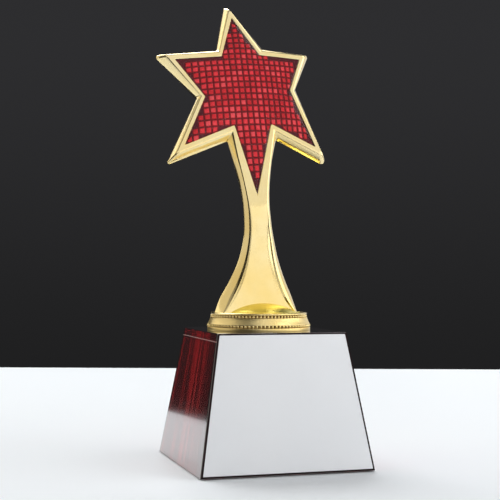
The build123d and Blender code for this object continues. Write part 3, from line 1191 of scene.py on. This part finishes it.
@dataclass
class MosaicPanel:
    """The red panel of one face: raised cells on a dark ground, under a clear crowned cover."""

    space: FigureSpace
    outlines: StarOutlines
    across_pitch: float = 3.62
    up_pitch: float = 3.80
    across_fade: float = 0.0046
    up_fade: float = 0.0031
    arch: float = 0.0015
    turn: float = math.radians(3.5)
    counts: tuple[int, int] = (32, 38)
    margin: float = 1.15
    gap: float = 0.4
    least_cell: float = 7.5
    line: float = 0.46
    slab: float = 0.3
    slopes: tuple[Point, ...] = ((0.16, 0.30), (0.20, 0.22), (0.22, 0.12), (0.10, 0.02))
    # painted shade: share of the cell's shade kept on its top, then on each ring of its sloping sides
    # outwards
    painted_slope_shades: tuple[float, ...] = (1.0, 1.0, 0.78, 0.5, 0.28)
    ground_out: float = 3.2
    cover_edge: float = 4.25
    shoulder: float = 20.0
    rise: float = 2.2
    share_of_crown: float = 0.75
    rings: int = 16
    seed: int = 7
    # random tone of each cell; the upper end brings the brightest cells to the painted pink highlight
    tone_and_highlight_range: Point = (0.55, 1.08)
    least_near: float = 0.05
    sharp: float = 50.0
    wall_step: float = 3.0
    ring_power: float = 1.5
    ring_reach: float = 0.95
    sheet_inset: float = 0.15
    sheet_drop: float = 0.35
    sheet_gap: float = 0.03
    cover_inset: float = 0.33
    cover_drop: float = 0.1

    def build(self, side: Side, wardrobe: Wardrobe) -> None:
        """Build the cells and the cover.

        Args:
            side: front or rear.
            wardrobe: the finishes.
        """
        label = side.name.lower()
        self.build_cells(side, wardrobe, label)
        self.build_margin(side, wardrobe, label)
        self.build_cover(side, wardrobe, label)

    def sides(self) -> list[tuple[Vector, Vector]]:
        """The ends of each side of the panel's outline."""
        points = [Vector(point) for point in self.outlines.panel]
        return [(points[i - 1], end) for i, end in enumerate(points)]

    def ways(self, spot: Vector) -> list[tuple[Vector, Vector]]:
        """The start of each side, and the way from it to the side's nearest point to a spot."""
        ways = []
        for a, b in self.sides():
            along = b - a
            t = min(max((spot - a).dot(along) / along.length_squared, 0.0), 1.0)
            ways.append((a, along * t))
        return ways

    def depth_inside(self, spot: Vector) -> float:
        """Distance from a point to the panel's outline, negative outside it."""
        near = min((spot - a - way).length for a, way in self.ways(spot))
        odd = False
        for a, b in self.sides():
            if (a.y > spot.y) != (b.y > spot.y):
                odd ^= spot.x < a.x + (spot.y - a.y) / (b.y - a.y) * (b.x - a.x)
        return near if odd else -near

    def drawn_in(self, spot: Vector) -> Vector:
        """A point, or where it lands when it is drawn in to the gap along the panel's outline."""
        depth = self.depth_inside(spot)
        if depth >= self.gap:
            return spot
        near = spot
        for a, way in self.ways(spot):
            foot = a + way
            if abs((spot - foot).length - abs(depth)) < TOUCH:
                near = foot
        inward = (spot - near) if depth > 0 else (near - spot)
        return near + inward.normalized() * self.gap

    def crown(self, spot: Vector) -> float:
        """How far the cover stands over its edge at a point: soft near the walls, level inside."""
        total = 0.0
        for a, way in self.ways(spot):
            total += max((spot - a - way).length, self.least_near) ** -3
        near = min(total ** (-1 / 3) / self.shoulder, 1.0)
        return self.rise * (1 - (1 - near) ** 2)

    def spot(self, across: float, up: float) -> Vector:
        """Place of a grid point on the panel: the pitch fades to the right and up, rows arch."""
        across -= 0.5 * self.across_fade * across**2
        up -= 0.5 * self.up_fade * up**2 + self.arch * across**2
        away = Vector((across, up))
        away.rotate(Matrix.Rotation(self.turn, 2))
        return Vector(self.outlines.centre) + away

    def build_cells(self, side: Side, wardrobe: Wardrobe, label: str) -> None:
        """Build the grid of pillow cells on their ground.

        Args:
            side: front or rear.
            wardrobe: the finishes.
            label: front or rear, for names.
        """
        bm = bmesh.new()
        bmesh.ops.create_grid(bm, x_segments=self.counts[0], y_segments=self.counts[1], size=0.5)
        spans = (self.counts[0] * self.across_pitch, self.counts[1] * self.up_pitch)
        for vert in bm.verts:
            vert.co.x, vert.co.y = self.spot(vert.co.x * spans[0], vert.co.y * spans[1])
        outside = [face for face in bm.faces if self.depth_inside(face.calc_center_median().xy) < self.margin]
        bmesh.ops.delete(bm, geom=outside, context="FACES")
        for vert in bm.verts:
            vert.co.x, vert.co.y = self.drawn_in(vert.co.xy)
        slivers = [face for face in bm.faces if face.calc_area() < self.least_cell]
        bmesh.ops.delete(bm, geom=slivers, context="FACES")
        shade = bm.faces.layers.float.new("cell_shade")
        bottom = list(bm.verts)
        made = bmesh.ops.extrude_face_region(bm, geom=list(bm.faces), use_keep_orig=True)["geom"]
        cells = [item for item in made if isinstance(item, Face)]
        bmesh.ops.translate(bm, verts=bottom, vec=(0.0, 0.0, -self.slab))
        dice = random.Random(self.seed)
        bmesh.ops.inset_individual(bm, faces=cells, thickness=self.line, depth=0.0)
        for face in bm.faces:
            face.material_index = 1
        flat = set(bm.faces)
        for thickness, rise in self.slopes:
            bmesh.ops.inset_individual(bm, faces=cells, thickness=thickness, depth=rise)
        self.shade_cells(cells, flat - set(cells), shade, dice)
        for vert in bm.verts:
            ground = self.ground_out + self.share_of_crown * self.crown(vert.co.xy)
            vert.co = self.space.star(vert.co.x, vert.co.y, side.value * (ground + vert.co.z))
        piece = finished_piece(f"{label}_mosaic_cells", bm, wardrobe.cells, wardrobe.lines)
        own(piece, "red_mosaic", f"{label}_mosaic")

    def shade_cells(self, cells: list[Face], flat: set[Face], shade: bmesh.types.BMLayerItem,
                    dice: random.Random) -> None:
        """Give each cell, with its sloping sides, one random shade and the red material; each ring further
        down the sloping sides is painted darker, a painted shade.

        Args:
            cells: the cells' top faces.
            flat: the faces that stay ground.
            shade: the face layer of the shade.
            dice: the random numbers.
        """
        for top in cells:
            value = dice.uniform(*self.tone_and_highlight_range)
            ring, done = [top], {top}
            for fade in self.painted_slope_shades:
                for face in ring:
                    face[shade] = value * fade
                    face.material_index = 0
                near = {other for face in ring for edge in face.edges for other in edge.link_faces}
                ring = list(near - done - flat)
                done |= near

    def build_margin(self, side: Side, wardrobe: Wardrobe, label: str) -> None:
        """Build the dark ground sheet, crowned like the cells, that shows as the plain margin.

        Args:
            side: front or rear.
            wardrobe: the finishes.
            label: front or rear, for names.
        """
        drop = self.ground_out - self.sheet_gap

        def height(spot: Vector) -> float:
            """Height of the sheet over a point."""
            return drop + self.share_of_crown * self.crown(spot)

        bm = self.crowned_shell(side, self.sheet_inset, self.ground_out - self.sheet_drop, height)
        piece = finished_piece(f"{label}_ground_sheet", bm, wardrobe.ground)
        own(piece, "maroon_sheet", f"{label}_backing_sheet")

    def wall_points(self, inset: float) -> list[Vector]:
        """Points about three millimetres apart round the panel, moved in by a distance."""
        rounded = rounded_outline(self.outlines.panel, self.outlines.panel_radii, 2)
        corners = [Vector(p) for p in shrunk(rounded, inset)]
        points = []
        for i, a in enumerate(corners):
            b = corners[(i + 1) % len(corners)]
            count = max(1, round((b - a).length / self.wall_step))
            points += [a.lerp(b, k / count) for k in range(count)]
        return points

    def crowned_shell(self, side: Side, inset: float, bottom: float,
                      height: Callable[[Vector], float]) -> Mesh:
        """Build a closed shell: a floor, a wall and a crown of rings that shrink to the middle.

        Args:
            side: front or rear.
            inset: how far its wall stands in from the panel's outline.
            bottom: how far its floor stands out.
            height: gives how far its crown stands out over a point.

        Returns:
            The shell's mesh, in its place.
        """
        bm = bmesh.new()
        outline = self.wall_points(inset)
        row, loop = closed_loop(bm, [(p.x, p.y, bottom) for p in outline])
        fill(bm, loop, DOWN)
        middle = Vector(self.outlines.centre)
        for k in range(self.rings + 1):
            share = (k / self.rings) ** self.ring_power * self.ring_reach
            spots = [p.lerp(middle, share) for p in outline]
            row, loop = extruded_row(bm, row, loop, [Vector((*p, height(p))) for p in spots])
        bmesh.ops.edgeloop_fill(bm, edges=loop)
        for vert in bm.verts:
            vert.co = self.space.star(vert.co.x, vert.co.y, side.value * vert.co.z)
        return bm

    def build_cover(self, side: Side, wardrobe: Wardrobe, label: str) -> None:
        """Build the clear cover: a closed shell, low at the lip and crowned in the middle.

        Args:
            side: front or rear.
            wardrobe: the finishes.
            label: front or rear, for names.
        """
        def height(spot: Vector) -> float:
            """Height of the cover over a point."""
            return self.cover_edge + self.crown(spot)

        bm = self.crowned_shell(side, self.cover_inset, self.ground_out - self.cover_drop, height)
        piece = finished_piece(f"{label}_crowned_cover", bm, wardrobe.resin)
        piece.data.set_sharp_from_angle(angle=math.radians(self.sharp))
        own(piece, "clear_resin", f"{label}_clear_dome")


# ---------------------------------------------------------------- collar


@dataclass
class Collar:
    """Gilded ring: a row of beads at the foot, a flaring band, small teeth, a lip and a domed cap."""

    count: int = 84
    segments: int = 168
    rim: float = 10.2
    rise: float = 6.3
    dome_radius: float = 22.4
    ledge: float = 26.7
    lip: Point = (27.45, 9.55)
    lip_round: float = 0.68
    section: tuple[Point, ...] = (
        (27.2, 8.8), (27.15, 7.7), (27.9, 7.55), (28.25, 7.45), (28.3, 7.1), (28.6, 6.2), (29.0, 5.2),
        (29.5, 4.2), (29.8, 3.75), (29.85, 3.5), (29.6, 3.3), (28.6, 3.25), (28.6, 2.1), (29.5, 1.95),
        (29.9, 1.8), (30.05, 1.5), (30.0, 0.15), (29.9, 0.0), (24.0, 0.0), (24.0, 6.5), (0.0, 6.5),
    )
    row_low: float = 2.0
    row_top: float = 3.4
    band_top: float = 7.6
    band_reach: float = 27.8
    groove_low: float = 7.5
    groove_top: float = 8.9
    groove_reach: float = 26.9
    cap_low: float = 10.0
    cap_reach: float = 25.0
    sharp: float = 42.0

    def centre(self) -> tuple[Vector, float]:
        """The collar's axis on the base, and its lower height."""
        low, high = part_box("collar")
        return Vector(((low.x + high.x) / 2, (low.y + high.y) / 2, 0.0)), low.z

    def cap_height(self, reach: float) -> float:
        """Height of the domed cap over the base at a distance from the axis, in millimetres."""
        ball = (self.dome_radius**2 + self.rise**2) / (2 * self.rise)
        dome = self.rise - ball + math.sqrt(max(ball**2 - reach**2, 0.0))
        return self.rim + max(dome, 0.0) if reach < self.dome_radius else self.rim

    def profile(self) -> list[Point]:
        """Half section of the ring, from the top of the cap outwards, down and back to the axis."""
        cap = [(self.ledge * k / 24, self.cap_height(self.ledge * k / 24)) for k in range(25)]
        angles = [math.radians(150 - 30 * k) for k in range(8)]
        across, up = self.lip
        lip = [(across + self.lip_round * math.cos(a), up + self.lip_round * math.sin(a)) for a in angles]
        return cap + lip + list(self.section)

    def zone(self, reach: float, height: float) -> int:
        """Material slot of a spot on the ring.

        Args:
            reach: its distance from the axis in millimetres.
            height: its height over the base.

        Returns:
            0 for plain gold, 1 for dimpled gold, 2 for painted shade in a groove, 3 for the warm cap.
        """
        if reach > self.band_reach and (self.row_top < height < self.band_top or height < self.row_low):
            return 1
        # painted shade: the grooves behind both rows of beads get the dark material
        if self.row_low < height < self.row_top:
            return 2
        if reach > self.groove_reach and self.groove_low < height < self.groove_top:
            return 2
        return 3 if height > self.cap_low and reach < self.cap_reach else 0

    def build(self, gold: Material, hammered: Material,
              groove_shade: Material, cap: Material) -> None:
        """Build the ring and its two rows of beads.

        Args:
            gold: the polished material.
            hammered: the dimpled material of the band.
            groove_shade: the dark material of the grooves behind the beads, a painted shade.
            cap: the warmer material of the domed cap.
        """
        middle, base = self.centre()
        bm = bmesh.new()
        verts = [bm.verts.new((reach * MM, 0.0, height * MM)) for reach, height in self.profile()]
        edges = [bm.edges.new(pair) for pair in zip(verts, verts[1:])]
        bmesh.ops.spin(
            bm, geom=verts + edges, cent=ORIGIN, axis=(0, 0, 1), angle=2 * math.pi,
            steps=self.segments, use_merge=True, use_duplicate=False,
        )
        bmesh.ops.remove_doubles(bm, verts=bm.verts, dist=TOUCH)
        for face in bm.faces:
            spot = face.calc_center_median() / MM
            face.material_index = self.zone(spot.xy.length, spot.z)
        bmesh.ops.translate(bm, verts=bm.verts, vec=middle + Vector((0, 0, base)))
        ring = finished_piece("beaded_collar", bm, gold, hammered, groove_shade, cap)
        ring.data.set_sharp_from_angle(angle=math.radians(self.sharp))
        own(ring, "gold", "collar")
        self.bead_row("collar_lower_beads", gold, 0.97, 29.25, 2.72, 1.05)
        self.bead_row("collar_upper_teeth", gold, 0.86, 27.4, 8.2, 0.95)

    def bead_row(self, name: str, gold: Material, radius: float, reach: float, height: float,
                 tall: float) -> None:
        """Set a row of beads round the ring.

        Args:
            name: the piece's name.
            gold: the material.
            radius: half width of a bead in millimetres.
            reach: radius of the row.
            height: height of the row over the base.
            tall: height of a bead against its width.
        """
        middle, base = self.centre()
        bm = bmesh.new()
        for k in range(self.count):
            angle = 2 * math.pi * (k + 0.5) / self.count
            spot = Vector((math.cos(angle) * reach, math.sin(angle) * reach, height)) * MM
            matrix = Matrix.Translation(middle + Vector((0, 0, base)) + spot)
            matrix = matrix @ Matrix.Rotation(angle, 4, "Z") @ Matrix.Diagonal((1, 1, tall, 1))
            bmesh.ops.create_uvsphere(bm, u_segments=10, v_segments=7, radius=radius * MM, matrix=matrix)
        own(finished_piece(name, bm, gold), "gold")


# ---------------------------------------------------------------- base


@dataclass
class Base:
    """The lacquered box, its plate, its felt and the hidden fasteners, all as the CAD has them."""

    nodes: dict

    def dress(self, wardrobe: Wardrobe) -> None:
        """Give every carried-over CAD node its finish.

        Args:
            wardrobe: the finishes.
        """
        finishes = {
            wardrobe.lacquer: ("base_front_panel", "base_rear_panel", "base_left_panel",
                               "base_right_panel", "base_top_board"),
            wardrobe.raw_wood: ("base_bottom_board", "corner_blocks"),
            wardrobe.silver: ("name_plate",),
            wardrobe.glue: ("plate_adhesive",),
            wardrobe.felt: ("felt_pad",),
            wardrobe.block: ("foot_block",),
            wardrobe.zinc: ("bottom_screws", "centre_bolt", "flat_washer", "spring_washer",
                            "figure_screws", "locating_pins"),
        }
        for material, names in finishes.items():
            for name in names:
                mesh = self.nodes[name].data
                mesh.materials.clear()
                mesh.materials.append(material)
                log.info("dressed %s in %s", name, material.name)


@dataclass
class PlateEdging:
    """Dark border between the name plate and the arrises of the front face, a painted shade."""

    bottom_half: float = 49.8
    top_half: float = 37.5
    low: float = 0.6
    high: float = 76.5
    front_low: float = -50.0
    front_high: float = -37.5
    drop: float = 76.3
    width: float = 0.97
    thick: float = 0.93
    foot: float = 0.5
    side_share: float = 0.6
    chamfer: float = 0.08
    sharp: float = 30.0

    def spot(self, across: float, up: float, out: float) -> Vector:
        """Place of a point of the front face.

        Args:
            across: millimetres to the right of the middle.
            up: height in millimetres.
            out: millimetres in front of the face.

        Returns:
            The point in metres.
        """
        lean = math.atan2(self.front_high - self.front_low, self.drop)
        y = self.front_low + (self.front_high - self.front_low) * (up - self.foot) / self.drop
        return Vector((across, y - out * math.cos(lean), up + out * math.sin(lean))) * MM

    def loop(self, inset: float) -> list[Point]:
        """The front face's outline moved in by a distance."""
        slope = (self.bottom_half - self.top_half) / (self.high - self.low)
        side = inset * math.hypot(1.0, slope)
        low, high = self.low + inset, self.high - inset
        wide = self.bottom_half - slope * inset - side
        narrow = self.top_half + slope * inset - side
        return [(-wide, low), (wide, low), (narrow, high), (-narrow, high)]

    def build(self, material: Material) -> None:
        """Build the border.

        Args:
            material: its material.
        """
        # painted shade: a dark frame over the margin between the plate and the arrises
        bm = bmesh.new()
        row, edges = closed_loop(bm, [self.spot(*p, 0.0) for p in self.loop(0.0)])
        steps = [(0.0, self.thick * self.side_share), (self.chamfer, self.thick),
                 (self.width, self.thick), (self.width, 0.0)]
        for inset, out in steps:
            row, edges = extruded_row(bm, row, edges, [self.spot(*p, out) for p in self.loop(inset)])
        first = [e for e in bm.edges if e.is_boundary]
        bmesh.ops.bridge_loops(bm, edges=first)
        piece = finished_piece("plate_edging", bm, material)
        piece.data.set_sharp_from_angle(angle=math.radians(self.sharp))
        own(piece, "lacquered_wood")


# ---------------------------------------------------------------- studio


@dataclass
class Studio:
    """Pale table in a dark room, soft lamps and the camera."""

    table_back: float = 0.625
    table_front: float = -2.2
    table_side: float = 2.4
    table_left: float = -0.75
    split: float = -0.31
    wing_back: float = 0.51
    room: Colour = (0.0185, 0.0185, 0.0195)
    camera_at: Triple = (-0.20113, -0.63062, 0.11099)
    yaw: float = math.radians(17.054)
    pitch: float = math.radians(1.062)
    roll: float = math.radians(0.246)
    lens: float = 81.29
    sensor: float = 36.0
    board_half: float = 3.0
    board_back: float = 2.0
    aim_height: float = 0.14

    def build(self) -> None:
        """Build the studio."""
        self.lay_table()
        self.hang_backdrop()
        self.dim_room()
        self.hang_lamps()
        self.stand_camera()
        bpy.context.scene.view_settings.view_transform = "Standard"

    def lay_sheet(self, name: str, sides: Point, depth: Point) -> None:
        """Lay one sheet of the pale table top, its edges square to the camera.

        Args:
            name: its name.
            sides: its left and right edges.
            depth: its front and back edges.
        """
        bm = bmesh.new()
        bmesh.ops.create_grid(bm, x_segments=1, y_segments=1, size=0.5)
        bmesh.ops.scale(bm, verts=bm.verts, vec=(sides[1] - sides[0], depth[1] - depth[0], 1.0))
        bmesh.ops.translate(bm, verts=bm.verts, vec=(sum(sides) / 2, sum(depth) / 2, 0))
        bmesh.ops.rotate(bm, verts=bm.verts, cent=ORIGIN, matrix=Matrix.Rotation(-self.yaw, 3, "Z"))
        finished_piece(name, bm, self.paper)

    def lay_table(self) -> None:
        """Lay the table: a main sheet and a shorter one at the left."""
        self.paper = StudioPaper().build()
        self.lay_sheet("table_top", (self.split, self.table_side), (self.table_front, self.table_back))
        self.lay_sheet("table_wing", (self.table_left, self.split), (self.table_front, self.wing_back))

    def hang_backdrop(self) -> None:
        """Hang a dark board far behind; its painted glow is a little paler towards its top."""
        bm = bmesh.new()
        bmesh.ops.create_grid(bm, x_segments=1, y_segments=1, size=self.board_half)
        bmesh.ops.rotate(bm, verts=bm.verts, cent=ORIGIN, matrix=Matrix.Rotation(math.pi / 2, 3, "X"))
        bmesh.ops.translate(bm, verts=bm.verts, vec=(0, self.board_back, 0))
        bmesh.ops.rotate(bm, verts=bm.verts, cent=ORIGIN, matrix=Matrix.Rotation(-self.yaw, 3, "Z"))
        finished_piece("backdrop", bm, DarkBoard().build())

    def dim_room(self) -> None:
        """Fill the room with a dark charcoal."""
        world = bpy.data.worlds.new("dark_room")
        world.use_nodes = True
        background = world.node_tree.nodes["Background"]
        background.inputs["Color"].default_value = (*self.room, 1.0)
        background.inputs["Strength"].default_value = 1.0
        bpy.context.scene.world = world

    def lamp(self, name: str, bearing: float, rise: float, away: float, size: tuple[float, float],
             glow: float, colour: Colour = (1.0, 1.0, 1.0)) -> None:
        """Hang one soft box that faces the star.

        Args:
            name: its name.
            bearing: degrees to the right of straight in front.
            rise: degrees above the trophy's middle.
            away: its distance in metres.
            size: its width and height in metres.
            glow: its brightness.
            colour: its colour.
        """
        data = bpy.data.lights.new(name, "AREA")
        data.shape = "RECTANGLE"
        data.size, data.size_y = size
        data.energy = glow * math.pi * size[0] * size[1]
        data.color = colour
        lamp = bpy.data.objects.new(name, data)
        aim = Vector((0.0, 0.0, self.aim_height))
        turn, tilt = math.radians(bearing), math.radians(rise)
        away_to = Vector((math.sin(turn) * math.cos(tilt), -math.cos(turn) * math.cos(tilt), math.sin(tilt)))
        lamp.location = aim + away_to * away
        lamp.rotation_mode = "QUATERNION"
        lamp.rotation_quaternion = (-away_to).to_track_quat("-Z", "Y")
        lamp.visible_camera = False
        bpy.context.scene.collection.objects.link(lamp)

    def hang_lamps(self) -> None:
        """Hang the soft boxes round the trophy."""
        self.lamp("front_box", 24.0, 9.0, 1.4, (0.85, 0.64), 1.05)
        self.lamp("main_right_box", 70.0, 14.0, 1.4, (1.35, 0.75), 1.85)
        self.lamp("front_top_box", 16.0, 45.0, 1.4, (1.7, 1.24), 0.85)
        self.lamp("right_top_box", 68.0, 47.0, 1.3, (0.8, 0.55), 1.7)
        self.lamp("left_top_box", -48.0, 42.0, 1.4, (0.75, 0.36), 0.34)
        self.lamp("front_fill", -7.0, 11.0, 1.45, (0.6, 0.6), 0.55)
        self.lamp("left_box", -103.0, 22.0, 1.35, (1.3, 1.5), 0.68, (1.0, 0.94, 0.8))
        self.lamp("left_back_box", -142.0, 22.0, 1.35, (0.5, 0.7), 1.2, (1.0, 0.97, 0.9))
        self.lamp("right_back_box", 126.0, 14.0, 1.35, (1.3, 0.9), 0.75)
        self.lamp("overhead_box", 185.0, 52.0, 1.5, (1.2, 0.9), 6.3, (0.975, 0.99, 1.0))

    def stand_camera(self) -> None:
        """Stand the camera and aim it."""
        data = bpy.data.cameras.new("camera")
        data.sensor_width = self.sensor
        data.lens = self.lens
        camera = bpy.data.objects.new("camera", data)
        level = math.cos(self.pitch)
        forward = Vector((math.sin(self.yaw) * level, math.cos(self.yaw) * level, math.sin(self.pitch)))
        right = Vector((math.cos(self.yaw), -math.sin(self.yaw), 0.0))
        up = right.cross(forward)
        tilted = right * math.cos(self.roll) + up * math.sin(self.roll)
        up = up * math.cos(self.roll) - right * math.sin(self.roll)
        turn = Matrix((tilted, up, -forward)).transposed()
        camera.matrix_world = Matrix.Translation(self.camera_at) @ turn.to_4x4()
        bpy.context.scene.collection.objects.link(camera)
        bpy.context.scene.camera = camera


def main() -> None:
    """Load the frame, build the pieces, dress the CAD nodes and set up the studio."""
    logging.basicConfig(level=logging.INFO, format="%(name)s: %(message)s")
    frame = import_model()
    wardrobe = Wardrobe()
    space = FigureSpace()
    outlines = StarOutlines()
    figure = Figure(space, outlines)
    panel = MosaicPanel(space, outlines)
    for side in Side:
        figure.build_half(side, wardrobe.gold)
        panel.build(side, wardrobe)
    Collar().build(wardrobe.gold, wardrobe.hammered, wardrobe.groove_shade, wardrobe.cap)
    Base(frame["nodes"]).dress(wardrobe)
    PlateEdging().build(wardrobe.edging)
    Studio().build()


if __name__ == "__main__":
    main()
